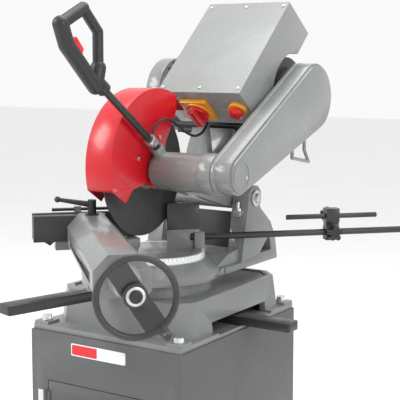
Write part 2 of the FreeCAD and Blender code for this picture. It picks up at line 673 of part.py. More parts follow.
def belt_cover():
    small, large = COVER_SMALL, COVER_LARGE
    outer = hull_x((SPINDLE[0], SPINDLE[1], small), (MOTOR[0], MOTOR[1], large), COVER_IN, COVER_OUT - 7)
    crown = hull_x((SPINDLE[0], SPINDLE[1], small - 6), (MOTOR[0], MOTOR[1], large - 6),
                   COVER_OUT - 8, COVER_OUT)
    inner = hull_x((SPINDLE[0], SPINDLE[1], small - 2.5), (MOTOR[0], MOTOR[1], large - 2.5),
                   COVER_IN - 1, COVER_OUT - 10)
    emboss = tube(on(SPINDLE, COVER_OUT - 1), on(SPINDLE, COVER_OUT + 1.5), 38, 34)
    bend = [(272, 268, 1136), (272, 270, 1090), (272, 368, 1072), (272, 342, 1108), (272, 342, 1176)]
    loop_rod = [capsule(start, end, 5) for start, end in zip(bend, bend[1:])]
    body = merge(outer, crown, emboss).cut(inner)
    return body.fuse([piece.cut(merge(outer, inner)) for piece in loop_rod]).removeSplitter()


def drive_belts():
    belts = []
    for x in BELT_X:
        low, high = x - BELT_WIDTH / 2, x + BELT_WIDTH / 2
        outer = hull_x((SPINDLE[0], SPINDLE[1], 41), (MOTOR[0], MOTOR[1], 51), low, high)
        inner = hull_x((SPINDLE[0], SPINDLE[1], 33.6), (MOTOR[0], MOTOR[1], 43.6), x - 6, x + 6)
        belts.append(outer.cut(inner))
    return Part.makeCompound(belts)


def pulley_grooves(axis, radius):
    return [tube(on(axis, x - 6), on(axis, x + 6), radius + 5, radius - 7) for x in BELT_X]


feature("motor_body", motor_body())
feature("motor_cowl", motor_cowl())
feature("motor_plate", motor_plate())
feature("belt_cover", belt_cover())
feature("drive_belts", drive_belts())

spindle_blank = bound_cylinder("spindle_pulley_blank", "dims.spindle_pulley_rad", "29", on(SPINDLE, 256))
spindle_grooves = doc.addObject("Part::Feature", "spindle_pulley_grooves")
spindle_grooves.Shape = Part.makeCompound(pulley_grooves(SPINDLE, dim("spindle_pulley_rad"))
                                          + [rod(on(SPINDLE, 250), on(SPINDLE, 290), dim("spindle_rad"))])
bound_cut("spindle_pulley", spindle_blank, spindle_grooves)
motor_blank = bound_cylinder("motor_pulley_blank", "dims.motor_pulley_rad", "29", on(MOTOR, 256))
motor_grooves = doc.addObject("Part::Feature", "motor_pulley_grooves")
motor_grooves.Shape = Part.makeCompound(pulley_grooves(MOTOR, dim("motor_pulley_rad"))
                                        + [rod(on(MOTOR, 250), on(MOTOR, 290), 14)])
bound_cut("motor_pulley", motor_blank, motor_grooves)

shaft_main = bound_cylinder("spindle_shaft_main", "dims.spindle_rad", "254", on(SPINDLE, 28))
shaft_nose = bound_cylinder("spindle_shaft_nose", "dims.nose_rad", "62", on(SPINDLE, -32))
bound_fuse("spindle_shaft", [shaft_main, shaft_nose])
NOSE = dim("nose_rad")
HALF_DISC = dim("disc_thick") / 2


def disc_flanges():
    inner = rod(on(SPINDLE, HALF_DISC), on(SPINDLE, 13), dim("flange_rad"))
    inner = merge(inner, rod(on(SPINDLE, 12), on(SPINDLE, 28), 20))
    inner = inner.cut(rod(on(SPINDLE, -5), on(SPINDLE, 40), NOSE))
    outer = tube(on(SPINDLE, -13), on(SPINDLE, -HALF_DISC), dim("flange_rad"), NOSE)
    return Part.makeCompound([inner, outer])


def spindle_nut():
    return hexagon(on(SPINDLE, -13), on(SPINDLE, -29), 41).cut(rod(on(SPINDLE, -30), on(SPINDLE, 0), NOSE))


feature("disc_flanges", disc_flanges())
feature("spindle_nut", spindle_nut())

disc = doc.addObject("PartDesign::Body", "abrasive_disc")
disc.Label = "abrasive_disc"
sketch = disc.newObject("Sketcher::SketchObject", "disc_outline")
sketch.AttachmentSupport = [(plane_of(disc, "YZ_Plane"), "")]
sketch.MapMode = "FlatFace"
for index, expression in enumerate(("dims.disc_rad", "dims.nose_rad")):
    circle = sketch.addGeometry(Part.Circle(Vector(0, 0, 0), Z_AXIS, 100 - 40 * index), False)
    sketch.addConstraint(Sketcher.Constraint("Coincident", circle, 3, -1, 1))
    sketch.addConstraint(Sketcher.Constraint("Radius", circle, 100 - 40 * index))
    sketch.setExpression("Constraints[%d]" % (2 * index + 1), expression)
disc_pad = disc.newObject("PartDesign::Pad", "disc_pad")
disc_pad.Profile = sketch
disc_pad.SideType = "Symmetric"
disc_pad.setExpression("Length", "dims.disc_thick")
disc.Placement = Placement(Vector(*on(SPINDLE, 0)), Rotation())
nodes["abrasive_disc"] = disc


def rotor_shaft():
    core = rod(on(MOTOR, -120), on(MOTOR, 150), 60)
    shaft = rod(on(MOTOR, -200), on(MOTOR, 282), 14)
    return merge(core, shaft)


def cooling_fan():
    hub = tube(on(MOTOR, -198), on(MOTOR, -170), 30, 14)
    blades = []
    for i in range(6):
        blade = box((-197, MOTOR[0] - 2, MOTOR[1] + 28), (-171, MOTOR[0] + 2, MOTOR[1] + 94))
        blade.rotate(Vector(*on(MOTOR, 0)), X_AXIS, 60 * i)
        blades.append(blade)
    return merge(hub, *blades)


def head_screws():
    """Button screws: six on the lid, one on the belt cover, two on the guard boss."""
    pieces = []
    for x in (BOX_LEFT + 12, (BOX_LEFT + BOX_RIGHT) / 2, BOX_RIGHT - 12):
        for share in (0.05, 0.95):
            pieces.append(Part.makeCylinder(4.5, 2.5, lid_point(x, share, 3), LID_OUT))
    low_screw = (SPINDLE[0] + 22, SPINDLE[1] - 6)
    pieces.append(rod((COVER_OUT, *low_screw), (COVER_OUT + 3, *low_screw), 5))
    for y, z in ((GUARD[0] - 84, GUARD[1] + 20), (GUARD[0] + 10, GUARD[1] + 70)):
        pieces.append(rod((dim("guard_half"), y, z), (dim("guard_half") + 4, y, z), 5))
    return Part.makeCompound(pieces)


feature("rotor_shaft", rotor_shaft())
feature("cooling_fan", cooling_fan())
feature("head_screws", head_screws())

# ---------------------------------------------------------------- vise bed (s, w axes)
TABLE, TABLE_TOP, RING_TOP = dim("table_rad"), dim("table_top"), dim("ring_top")
BED_LOW = RING_TOP + 0.4
SCREW_W, SCREW_Z, SCREW = dim("screw_w"), dim("screw_z"), dim("screw_rad")
FENCE_BACK, FENCE_FACE = -23, -8
WING_TOP = 886
SCALE_WIDE = 8
NUT = (232, 268)


def vise_bed():
    table = rod((0, 0, BED_LOW), (0, 0, TABLE_TOP), TABLE - SCALE_WIDE)
    pillar = rod((0, 0, DECK - 20), (0, 0, BED_LOW + 1), PILLAR)
    block = prism_z([(FENCE_FACE, 34), (FENCE_FACE, 124), (-46, 124), (-72, 104), (-58, 78)],
                    TABLE_TOP - 5, 900)
    boss = box((-22, 108, TABLE_TOP - 6), (4, 136, 892))
    wing = prism_z([(-24, -268), (22, -268), (22, -44), (-36, -52), (-36, -215), (-24, -228)], 862, WING_TOP)
    rear_lug = [box((-37, w - 9, 862), (FENCE_BACK, w + 9, 970)) for w in (-205, -62)]
    flank = Part.makeLoft([Part.makePolygon([Vector(s, w, BED_LOW) for s, w in
                                             ((-30, -150), (60, -150), (40, -60), (-30, -60), (-30, -150))]),
                           Part.makePolygon([Vector(s, w, 864) for s, w in
                                             ((-34, -212), (20, -212), (20, -46), (-34, -46), (-34, -212))])],
                          True, True)
    arm_side = [(-20, 836), (114, 836), (142, 800), (276, 806),
                (284, 869.7), (24, 869.7), (20, 880), (-20, 880)]
    arm = prism([(s, SCREW_W - 38, z) for s, z in arm_side], Vector(0, 76, 0))
    body = merge(table, pillar, block, boss, wing, flank, arm, *rear_lug)
    body = body.cut(box((70, SCREW_W - 24, 700), (200, SCREW_W + 24, 860)))
    body = body.cut(rod((FENCE_FACE, 100, 879), (FENCE_FACE, 140, 879), dim("stop_rod_rad")))
    body = body.cut(rod((-31, -330, 962), (-31, -40, 962), 4.5))
    return body


def scale_ring():
    """Graduated band round the table: short cuts every 5 degrees, long ones every 15."""
    ring = tube((0, 0, BED_LOW), (0, 0, TABLE_TOP), TABLE, TABLE - SCALE_WIDE)
    marks = []
    for i in range(-16, 10):
        length = 11 if i % 3 == 0 else 7
        mark = box((TABLE - 0.8, -0.5, TABLE_TOP - length), (TABLE + 1, 0.5, TABLE_TOP + 1))
        mark.rotate(Vector(0, 0, 0), Z_AXIS, 5 * i)
        marks.append(mark)
    bed = nodes["vise_bed"].Shape.copy()
    bed.Placement = Placement()
    return ring.cut(marks).cut(bed)


def vise_nut():
    block = box((NUT[0], SCREW_W - 18, 869.7), (NUT[1], SCREW_W + 18, 924))
    return block.cut(rod((NUT[0] - 1, SCREW_W, SCREW_Z), (NUT[1] + 1, SCREW_W, SCREW_Z), SCREW + RUN))


def fence_left():
    return box((FENCE_BACK, -326, 888), (FENCE_FACE, -38, 956))


def fence_right():
    return box((FENCE_BACK, 34, 900), (FENCE_FACE, 124, 973))


def fence_screws():
    pieces = []
    for w, z in ((-290, 935), (-200, 935), (-110, 935), (62, 946), (102, 946)):
        pieces.append(rod((FENCE_FACE - 4, w, z), (FENCE_FACE - 1, w, z), 6))
    return Part.makeCompound(pieces)


screw_shape = fence_screws()
feature("vise_bed", vise_bed(), VISE)
feature("scale_ring", scale_ring(), VISE)
feature("vise_nut", vise_nut(), VISE)
feature("fence_left", fence_left().cut(screw_shape), VISE)
feature("fence_right", fence_right().cut(screw_shape), VISE)
feature("fence_screws", screw_shape, VISE)


def guide_rod():
    return rod((-31, -273, 962), (-31, -50, 962), 4.5)


def stop_rod():
    return rod((FENCE_FACE, 100, 879), (FENCE_FACE, 780, 879), dim("stop_rod_rad"))


feature("guide_rod", guide_rod(), VISE)
feature("stop_rod", stop_rod(), VISE)

# ---------------------------------------------------------------- vise slide, jaw and handwheel
SLIDE_MID = -178
SLIDE_START, SLIDE_END = 44, 635
BOSS_END = 700
SLIDE_SECTION = [(-61, 882), (-50, 870), (50, 870), (61, 882), (61, 929), (30, 962), (-30, 962), (-61, 929)]
JAW_END = -137


def vise_slide():
    """Eight-sided beam, hollow below for the screw, with rails in its side and a bearing boss."""
    outline = [Vector(SLIDE_START, SLIDE_MID + w, z) for w, z in SLIDE_SECTION]
    beam = Part.Face(Part.makePolygon(outline + outline[:1])).extrude(Vector(SLIDE_END - SLIDE_START, 0, 0))
    beam = beam.cut(box((SLIDE_START + 16, SCREW_W - 24, 860), (SLIDE_END - 18, SCREW_W + 24, 930)))
    for side in (-1, 1):
        low, high = sorted((SLIDE_MID + side * 56, SLIDE_MID + side * 62))
        beam = beam.cut(box((SLIDE_START + 70, low, 890), (SLIDE_END - 60, high, 896)))
        beam = beam.cut(box((SLIDE_START + 70, low, 908), (SLIDE_END - 60, high, 914)))
    boss = Part.makeCone(36, 26, BOSS_END - SLIDE_END, Vector(SLIDE_END, SCREW_W, SCREW_Z), X_AXIS)
    body = merge(beam, boss)
    body = body.cut(rod((SLIDE_END - 30, SCREW_W, SCREW_Z), (BOSS_END + 1, SCREW_W, SCREW_Z), SCREW + RUN))
    return body.cut(rod((78, SLIDE_MID, 940), (78, SLIDE_MID, 970), 6 + RUN))


def moving_jaw():
    bar = box((14, -326, 888), (SLIDE_START, JAW_END, 956))
    foot = prism([(16, -284, 878), (16, -271, 889), (16, -300, 889)], Vector(26, 0, 0))
    notch = box((12, -242, 928), (20, -226, 944))
    return bar.cut(notch).fuse(foot).removeSplitter()


def vise_screw():
    screw = rod((70, SCREW_W, SCREW_Z), (WHEEL_S - 5, SCREW_W, SCREW_Z), SCREW)
    collar = rod((BOSS_END + GAP, SCREW_W, SCREW_Z), (BOSS_END + 14, SCREW_W, SCREW_Z), 18)
    return merge(screw, collar)


WHEEL_S, WHEEL_RAD, RIM_RAD = dim("wheel_s"), dim("wheel_rad"), dim("rim_rad")
GRIP_ANGLE = -52
GRIP_W = SCREW_W + WHEEL_RAD * math.cos(math.radians(GRIP_ANGLE))
GRIP_Z = SCREW_Z + WHEEL_RAD * math.sin(math.radians(GRIP_ANGLE))


def handwheel():
    """Round rim, one broad flat double spoke, hub and the boss that holds the handle's pin."""
    centre = Vector(WHEEL_S, SCREW_W, SCREW_Z)
    rim = Part.makeTorus(WHEEL_RAD, RIM_RAD, centre, X_AXIS)
    back, front = WHEEL_S - 26, WHEEL_S - 18
    half_side = [(back, -2), (back, 20), (WHEEL_S - 4, WHEEL_RAD),
                 (WHEEL_S + 4, WHEEL_RAD), (front, 18), (front, -2)]
    arms = []
    for side in (1, -1):
        arms.append(prism([(s, SCREW_W - 23, SCREW_Z + side * r) for s, r in half_side], Vector(0, 46, 0)))
    spoke = merge(*arms)
    spoke = spoke.common(rod((WHEEL_S - 40, SCREW_W, SCREW_Z), (WHEEL_S + 9, SCREW_W, SCREW_Z), WHEEL_RAD))
    spoke.rotate(centre, X_AXIS, 33)
    hub = rod((WHEEL_S - 50, SCREW_W, SCREW_Z), (WHEEL_S - 9, SCREW_W, SCREW_Z), 25)
    seat = rod((WHEEL_S - 6, GRIP_W, GRIP_Z), (WHEEL_S + 9, GRIP_W, GRIP_Z), 10)
    pin = rod((WHEEL_S + 8, GRIP_W, GRIP_Z), (WHEEL_S + 66, GRIP_W, GRIP_Z), 4)
    wheel = merge(rim, spoke, hub, seat, pin)
    return wheel.cut(rod((WHEEL_S - 60, SCREW_W, SCREW_Z), (WHEEL_S + 40, SCREW_W, SCREW_Z), SCREW))


def wheel_handle():
    """Revolving barrel handle on the wheel's pin."""
    low, high = WHEEL_S + 9 + GAP, WHEEL_S + 68
    waist = Part.makeCone(8, 11, 22, Vector(low, GRIP_W, GRIP_Z), X_AXIS)
    barrel = Part.makeCone(11, 9.5, high - low - 24, Vector(low + 22, GRIP_W, GRIP_Z), X_AXIS)
    tip = Part.makeCone(9.5, 6, 5, Vector(high - 2, GRIP_W, GRIP_Z), X_AXIS)
    grip = merge(waist, barrel, tip)
    return grip.cut(rod((low - 1, GRIP_W, GRIP_Z), (WHEEL_S + 66.3, GRIP_W, GRIP_Z), 4 + RUN))


def clamp_lever():
    """Adjustable lever on the slide's top: stem, hub and a tapered arm towards the left."""
    hub = rod((78, SLIDE_MID, 965), (78, SLIDE_MID, 1001), 11)
    foot = rod((78, SLIDE_MID, 962 + GAP), (78, SLIDE_MID, 966), 17)
    stem = rod((78, SLIDE_MID, 945), (78, SLIDE_MID, 966), 6)
    arm_dir = Vector(0, -88, 16)
    arm = Part.makeCone(8, 5, arm_dir.Length, Vector(78, SLIDE_MID, 988), arm_dir)
    knob = ball((78, SLIDE_MID - 88, 1004), 8)
    return merge(hub, foot, stem, arm, knob)


feature("vise_slide", vise_slide(), VISE)
feature("moving_jaw", moving_jaw(), VISE)
feature("vise_screw", vise_screw(), VISE)
feature("handwheel", handwheel(), VISE)
feature("wheel_handle", wheel_handle(), VISE)
feature("clamp_lever", clamp_lever(), VISE)

# ---------------------------------------------------------------- length stop
STOP_W = 502
FINGER_Z = 924


def stop_clamp():
    """Split block on the stop rod, with a cross bore for the finger rod above."""
    s = FENCE_FACE
    block = box((s - 16, STOP_W - 19, 858), (s + 16, STOP_W + 19, 946))
    waist = [box((s - 20, STOP_W - 20, 896), (s - 11, STOP_W + 20, 908)),
             box((s + 11, STOP_W - 20, 896), (s + 20, STOP_W + 20, 908))]
    block = block.cut(waist)
    block = block.cut(rod((s, STOP_W - 30, 879), (s, STOP_W + 30, 879), dim("stop_rod_rad") + RUN))
    block = block.cut(rod((s, STOP_W - 30, FINGER_Z), (s, STOP_W + 30, FINGER_Z), dim("finger_rod_rad") + RUN))
    block = block.cut(box((s - 17, STOP_W - 30, 876), (s - 8, STOP_W + 30, 881)))
    for z, side in ((879, 1), (FINGER_Z, -1)):
        block = block.cut(rod((s, STOP_W, z), (s + side * 40, STOP_W, z), 4 + RUN))
    return block


def star_knob(z, side):
    """Five-lobed knob with a stub of thread, on the clamp block's face."""
    s = FENCE_FACE
    face = s + side * (16 + GAP)
    hub = rod((face, STOP_W, z), (face + side * 20, STOP_W, z), 13)
    lobes = []
    for i in range(5):
        angle = math.radians(90 + 72 * i)
        w, height = STOP_W + 14 * math.cos(angle), z + 14 * math.sin(angle)
        lobes.append(rod((face + side * 7, w, height), (face + side * 21, w, height), 7.5))
    stub = rod((face - side * 5, STOP_W, z), (face + side, STOP_W, z), 4)
    return merge(hub, stub, *lobes)


feature("stop_clamp", stop_clamp(), VISE)
feature("finger_rod", rod((FENCE_FACE, 371, FINGER_Z), (FENCE_FACE, 635, FINGER_Z), dim("finger_rod_rad")), VISE)
feature("front_star_knob", star_knob(879, 1), VISE)
feature("rear_star_knob", star_knob(FINGER_Z, -1), VISE)

# ---------------------------------------------------------------- checks and export
doc.recompute()
for item in doc.Objects:
    faults = [flag for flag in item.State if flag in ("Invalid", "Error")]
    if faults:
        raise RuntimeError("%s did not recompute: %s" % (item.Label, faults))
if len(nodes) > 60:
    raise RuntimeError("too many sub-parts: %d" % len(nodes))
for name, item in nodes.items():
    shape = item.Shape
    if shape.isNull() or not shape.isValid() or not shape.Solids:
        raise RuntimeError("bad shape: " + name)
    shape.exportStep(os.path.join("parts", name + ".step"))
print("sub-parts:", len(nodes))
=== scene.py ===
"""Looks of the chop saw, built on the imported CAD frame. Metres, same frame as the CAD."""
import bpy
import math
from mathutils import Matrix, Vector


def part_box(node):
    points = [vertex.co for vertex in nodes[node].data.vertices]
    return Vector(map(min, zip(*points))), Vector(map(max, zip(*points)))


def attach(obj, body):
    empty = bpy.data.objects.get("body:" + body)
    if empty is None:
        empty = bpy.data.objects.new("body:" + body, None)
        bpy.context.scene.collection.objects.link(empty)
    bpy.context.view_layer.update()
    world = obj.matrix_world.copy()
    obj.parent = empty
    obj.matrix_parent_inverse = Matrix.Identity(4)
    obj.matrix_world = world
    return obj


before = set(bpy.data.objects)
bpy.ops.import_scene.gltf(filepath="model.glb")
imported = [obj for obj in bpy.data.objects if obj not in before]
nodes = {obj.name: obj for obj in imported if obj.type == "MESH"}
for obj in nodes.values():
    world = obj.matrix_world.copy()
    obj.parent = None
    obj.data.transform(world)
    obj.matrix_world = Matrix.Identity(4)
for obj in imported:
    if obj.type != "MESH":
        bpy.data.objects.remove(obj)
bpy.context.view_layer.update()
scene = bpy.context.scene
Y_AXIS, Z_AXIS = Vector((0, 1, 0)), Vector((0, 0, 1))
VISE_OUT = Vector((1, -1, 0)).normalized()
VISE_ALONG = Vector((1, 1, 0)).normalized()
MM = 0.001


# ---------------------------------------------------------------- materials
class Shader:
    """One node material with short ways to add the nodes this script uses."""

    def __init__(self, name, colour, rough, metallic=0.0):
        self.mat = bpy.data.materials.new(name)
        self.mat.use_nodes = True
        self.tree = self.mat.node_tree
        self.bsdf = self.tree.nodes["Principled BSDF"]
        self.bsdf.inputs["Base Color"].default_value = (*colour, 1)
        self.bsdf.inputs["Roughness"].default_value = rough
        self.bsdf.inputs["Metallic"].default_value = metallic
        self.coords = self.tree.nodes.new("ShaderNodeTexCoord").outputs["Object"]

    def link(self, source, target):
        self.tree.links.new(source, target)

    def stretched(self, scale):
        """Object coordinates scaled unevenly, for brushed or turned grain."""
        mapping = self.tree.nodes.new("ShaderNodeMapping")
        mapping.inputs["Scale"].default_value = scale
        self.link(self.coords, mapping.inputs["Vector"])
        return mapping.outputs["Vector"]

    def noise(self, scale, detail=3.0, rough=0.5, vector=None):
        node = self.tree.nodes.new("ShaderNodeTexNoise")
        node.inputs["Scale"].default_value = scale
        node.inputs["Detail"].default_value = detail
        node.inputs["Roughness"].default_value = rough
        self.link(vector or self.coords, node.inputs["Vector"])
        return node.outputs["Fac"]

    def cells(self, scale, vector=None):
        node = self.tree.nodes.new("ShaderNodeTexVoronoi")
        node.inputs["Scale"].default_value = scale
        self.link(vector or self.coords, node.inputs["Vector"])
        return node.outputs["Distance"]

    def ramp(self, source, stops):
        node = self.tree.nodes.new("ShaderNodeValToRGB")
        while len(node.color_ramp.elements) < len(stops):
            node.color_ramp.elements.new(0.5)
        for element, (place, colour) in zip(node.color_ramp.elements, stops):
            element.position = place
            element.color = (*colour, 1)
        self.link(source, node.inputs["Fac"])
        return node.outputs["Color"]

    def span(self, source, low, high, start=0.3, end=0.7):
        node = self.tree.nodes.new("ShaderNodeMapRange")
        for socket, value in (("From Min", start), ("From Max", end), ("To Min", low), ("To Max", high)):
            node.inputs[socket].default_value = value
        self.link(source, node.inputs["Value"])
        return node.outputs["Result"]

    def blend(self, factor, first, second):
        node = self.tree.nodes.new("ShaderNodeMix")
        node.data_type = "RGBA"
        self.link(factor, node.inputs["Factor"])
        for socket, value in ((node.inputs["A"], first), (node.inputs["B"], second)):
            if isinstance(value, tuple):
                socket.default_value = (*value, 1)
            else:
                self.link(value, socket)
        return node.outputs["Result"]

    def colour(self, source):
        self.link(source, self.bsdf.inputs["Base Color"])

    def rough(self, source):
        self.link(source, self.bsdf.inputs["Roughness"])

    def bump(self, *layers):
        """Each layer is (height output, strength, distance in metres)."""
        normal = None
        for height, strength, distance in layers:
            node = self.tree.nodes.new("ShaderNodeBump")
            node.inputs["Strength"].default_value = strength
            node.inputs["Distance"].default_value = distance
            self.link(height, node.inputs["Height"])
            if normal is not None:
                self.link(normal, node.inputs["Normal"])
            normal = node.outputs["Normal"]
        self.link(normal, self.bsdf.inputs["Normal"])

    def worn(self, base, bare, amount=0.5):
        """Bare colour on sharp convex edges, broken up by noise."""
        point = self.tree.nodes.new("ShaderNodeNewGeometry").outputs["Pointiness"]
        edge = self.span(point, 0.0, amount, 0.53, 0.60)
        broken = self.span(self.noise(90, 4, 0.7), 0.0, 1.0, 0.45, 0.62)
        node = self.tree.nodes.new("ShaderNodeMath")
        node.operation = "MULTIPLY"
        self.link(edge, node.inputs[0])
        self.link(broken, node.inputs[1])
        return self.blend(node.outputs["Value"], base, bare)


def shade(colour, factor):
    return tuple(min(1.0, c * factor) for c in colour)


def painted(name, colour, rough, peel, cast=0.0, coat=0.0, wear=0.25):
    """Paint on steel or cast iron: faint clouding, orange peel, and a sandy base where it is cast."""
    s = Shader(name, colour, rough)
    clouds = s.noise(7, 4)
    tone = s.ramp(clouds, [(0.3, shade(colour, 0.93)), (0.7, shade(colour, 1.05))])
    s.colour(s.worn(tone, shade(colour, 0.55), wear))
    s.rough(s.span(s.noise(35, 5, 0.6), rough - 0.05, rough + 0.08))
    layers = [(s.noise(520, 2), peel, 0.0004)]
    if cast:
        layers.append((s.noise(150, 5, 0.65), cast, 0.0008))
        layers.append((s.noise(22, 2), cast * 0.6, 0.003))
    s.bump(*layers)
    s.bsdf.inputs["Coat Weight"].default_value = coat
    s.bsdf.inputs["Coat Roughness"].default_value = 0.08
    return s.mat


def steel(name, colour, rough, grain, strength=0.25):
    """Bare metal with fine lines along one direction."""
    s = Shader(name, colour, rough, 1.0)
    lines = s.noise(60, 3, 0.6, s.stretched(grain))
    s.colour(s.ramp(lines, [(0.3, shade(colour, 0.82)), (0.7, shade(colour, 1.06))]))
    s.rough(s.span(lines, rough - 0.08, rough + 0.12))
    s.bump((lines, strength, 0.0002))
    return s.mat


def plastic(name, colour, rough, grain, strength=0.2):
    """Moulded plastic with a fine spark-eroded grain and a little handling shine."""
    s = Shader(name, colour, rough)
    s.colour(s.ramp(s.noise(14, 3), [(0.3, shade(colour, 0.9)), (0.7, shade(colour, 1.1))]))
    s.rough(s.span(s.noise(28, 3), rough - 0.07, rough + 0.07))
    s.bump((s.cells(grain), strength, 0.00025), (s.noise(grain * 0.5, 2), strength * 0.6, 0.0002))
    return s.mat


def resin_disc(name):
    """Resin-bonded grit with the faint square weave of its reinforcing mesh."""
    s = Shader(name, (0.035, 0.035, 0.036), 0.62)
    grit = s.cells(900)
    speck = s.ramp(grit, [(0.12, (0.085, 0.083, 0.08)), (0.42, (0.03, 0.03, 0.031))])
    weave = s.tree.nodes.new("ShaderNodeTexWave")
    weave.bands_direction = "Y"
    weave.inputs["Scale"].default_value = 90
    s.link(s.coords, weave.inputs["Vector"])
    cross = s.tree.nodes.new("ShaderNodeTexWave")
    cross.bands_direction = "Z"
    cross.inputs["Scale"].default_value = 90
    s.link(s.coords, cross.inputs["Vector"])
    s.colour(speck)
    s.rough(s.span(s.noise(40, 4), 0.5, 0.72))
    s.bump((grit, 0.5, 0.0004), (weave.outputs["Fac"], 0.12, 0.0003), (cross.outputs["Fac"], 0.12, 0.0003))
    return s.mat


def graduated(name):
    """Bright band whose engraved marks are filled with dark paint, told apart by their depth."""
    s = Shader(name, (0.80, 0.81, 0.82), 0.34, 0.35)
    low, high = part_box("scale_ring")
    radius = max(high.x, high.y, -low.x, -low.y)
    split = s.tree.nodes.new("ShaderNodeSeparateXYZ")
    s.link(s.coords, split.inputs["Vector"])
    flat = s.tree.nodes.new("ShaderNodeCombineXYZ")
    s.link(split.outputs["X"], flat.inputs["X"])
    s.link(split.outputs["Y"], flat.inputs["Y"])
    reach = s.tree.nodes.new("ShaderNodeVectorMath")
    reach.operation = "LENGTH"
    s.link(flat.outputs["Vector"], reach.inputs[0])
    filled = s.tree.nodes.new("ShaderNodeMath")
    filled.operation = "MULTIPLY"
    sunk = s.span(reach.outputs["Value"], 1.0, 0.0, radius - 0.0007, radius - 0.0005)
    below_top = s.span(split.outputs["Z"], 1.0, 0.0, high.z - 0.0006, high.z - 0.0003)
    s.link(sunk, filled.inputs[0])
    s.link(below_top, filled.inputs[1])
    grain = s.noise(900, 2)
    bright = s.ramp(grain, [(0.3, (0.72, 0.73, 0.74)), (0.7, (0.86, 0.87, 0.88))])
    s.colour(s.blend(filled.outputs["Value"], bright, (0.03, 0.03, 0.03)))
    s.rough(s.span(grain, 0.28, 0.42))
    s.bump((grain, 0.1, 0.0001))
    return s.mat


casting = painted("casting_paint", (0.185, 0.195, 0.19), 0.32, 0.10, cast=0.16, coat=0.25)
housing = painted("housing_paint", (0.215, 0.225, 0.22), 0.28, 0.08, cast=0.06, coat=0.35)
case_paint = painted("case_paint", (0.255, 0.265, 0.26), 0.36, 0.12, coat=0.15)
cabinet_paint = painted("cabinet_paint", (0.085, 0.088, 0.087), 0.42, 0.16, coat=0.1)
red_paint = painted("guard_enamel", (0.52, 0.002, 0.010), 0.32, 0.05, coat=0.12, wear=0.10)
# Black paint of the levers, rods, fences and jaws; on the swarf shield the same black is painted shade.
black_paint = painted("black_paint", (0.016, 0.017, 0.017), 0.38, 0.12, cast=0.05, coat=0.2, wear=0.6)
motor_paint = painted("motor_paint", (0.055, 0.058, 0.060), 0.45, 0.12, cast=0.1)
black_plastic = plastic("black_plastic", (0.018, 0.018, 0.019), 0.42, 1100)
wheel_plastic = plastic("wheel_plastic", (0.035, 0.036, 0.036), 0.38, 900)
knob_red = plastic("knob_red", (0.62, 0.012, 0.018), 0.28, 1400, 0.08)
switch_yellow = plastic("switch_yellow", (0.78, 0.33, 0.018), 0.34, 1300, 0.1)
rubber = plastic("rubber", (0.014, 0.014, 0.015), 0.62, 700, 0.3)
turned_x = steel("turned_steel", (0.62, 0.62, 0.63), 0.28, (40, 1, 1))
drawn_steel = steel("drawn_steel", (0.60, 0.60, 0.61), 0.26, (1, 1, 30))
zinc = steel("zinc_plate", (0.66, 0.67, 0.68), 0.36, (3, 3, 3), 0.15)
disc_material = resin_disc("resin_disc")
scale_material = graduated("scale_ring")

FINISH = {
    casting: ("base_casting", "swivel_column", "vise_bed", "vise_slide"),
    housing: ("head_arm", "belt_cover", "motor_plate", "motor_cowl"),
    case_paint: ("control_box", "box_lid"),
    cabinet_paint: ("cabinet_shell", "cabinet_door"),
    red_paint: ("blade_guard",),
    # The swarf shield is a black sheet on the column's front between the head's cheeks: painted shade for
    # the shadow there.
    black_paint: ("left_lock_lever", "right_lock_lever", "handle_rod", "fence_left", "fence_right",
                  "guide_rod", "stop_rod", "moving_jaw", "stop_clamp", "finger_rod", "swarf_shield"),
    motor_paint: ("motor_body",),
    black_plastic: ("grip_body", "contactor", "cooling_fan", "clamp_lever", "front_star_knob",
                    "rear_star_knob"),
    wheel_plastic: ("handwheel", "wheel_handle"),
    knob_red: ("trigger", "switch_knob", "estop_button"),
    switch_yellow: ("switch_plate", "estop_collar"),
    rubber: ("drive_belts", "handle_cable"),
    turned_x: ("pivot_shaft", "return_spring", "spindle_bearings", "spindle_pulley", "motor_pulley",
               "spindle_shaft", "disc_flanges", "rotor_shaft"),
    drawn_steel: ("vise_screw", "vise_nut"),
    zinc: ("door_hinges", "hold_down_bolts", "angle_pointer", "depth_stop", "cable_gland", "spindle_nut",
           "head_screws", "fence_screws"),
    disc_material: ("abrasive_disc",),
    scale_material: ("scale_ring",),
}
for finish, names in FINISH.items():
    for name in names:
        nodes[name].data.materials.clear()
        nodes[name].data.materials.append(finish)


# ---------------------------------------------------------------- rounded edges on the CAD nodes
# Node names by edge radius in millimetres.
EDGE_RADIUS = {
    4.0: ("base_casting", "vise_bed"),
    3.0: ("swivel_column", "head_arm"),
    2.0: ("belt_cover", "stop_clamp", "left_lock_lever", "right_lock_lever", "control_box"),
    1.2: ("vise_slide", "motor_plate", "motor_cowl", "blade_guard", "moving_jaw", "fence_left",
          "fence_right", "handwheel", "switch_knob", "switch_plate", "cabinet_shell", "cabinet_door",
          "motor_body", "box_lid"),
    0.6: ("hold_down_bolts", "pivot_shaft", "depth_stop", "angle_pointer", "finger_rod", "stop_rod",
          "estop_collar", "trigger", "head_screws", "cable_gland", "vise_screw", "spindle_nut"),
}


def round_edges(node, radius):
    """Welds the split corners, drops flat seams and rounds the sharp edges, as modifiers on the node.

    The guard keeps its flat seams, because dropping them spoils the shading of its large curved rim.
    """
    weld = node.modifiers.new("weld", "WELD")
    weld.merge_threshold = 0.00002
    if node.name != "blade_guard":
        flat = node.modifiers.new("flat", "DECIMATE")
        flat.decimate_type = "DISSOLVE"
        flat.angle_limit = math.radians(1.0)
    bevel = node.modifiers.new("rounding", "BEVEL")
    bevel.width = radius * MM
    bevel.segments = 2
    bevel.limit_method = "ANGLE"
    bevel.angle_limit = math.radians(32)
    bevel.harden_normals = True
    bevel.miter_outer = "MITER_ARC"


for radius, names in EDGE_RADIUS.items():
    for name in names:
        for polygon in nodes[name].data.polygons:
            polygon.use_smooth = True
        round_edges(nodes[name], radius)


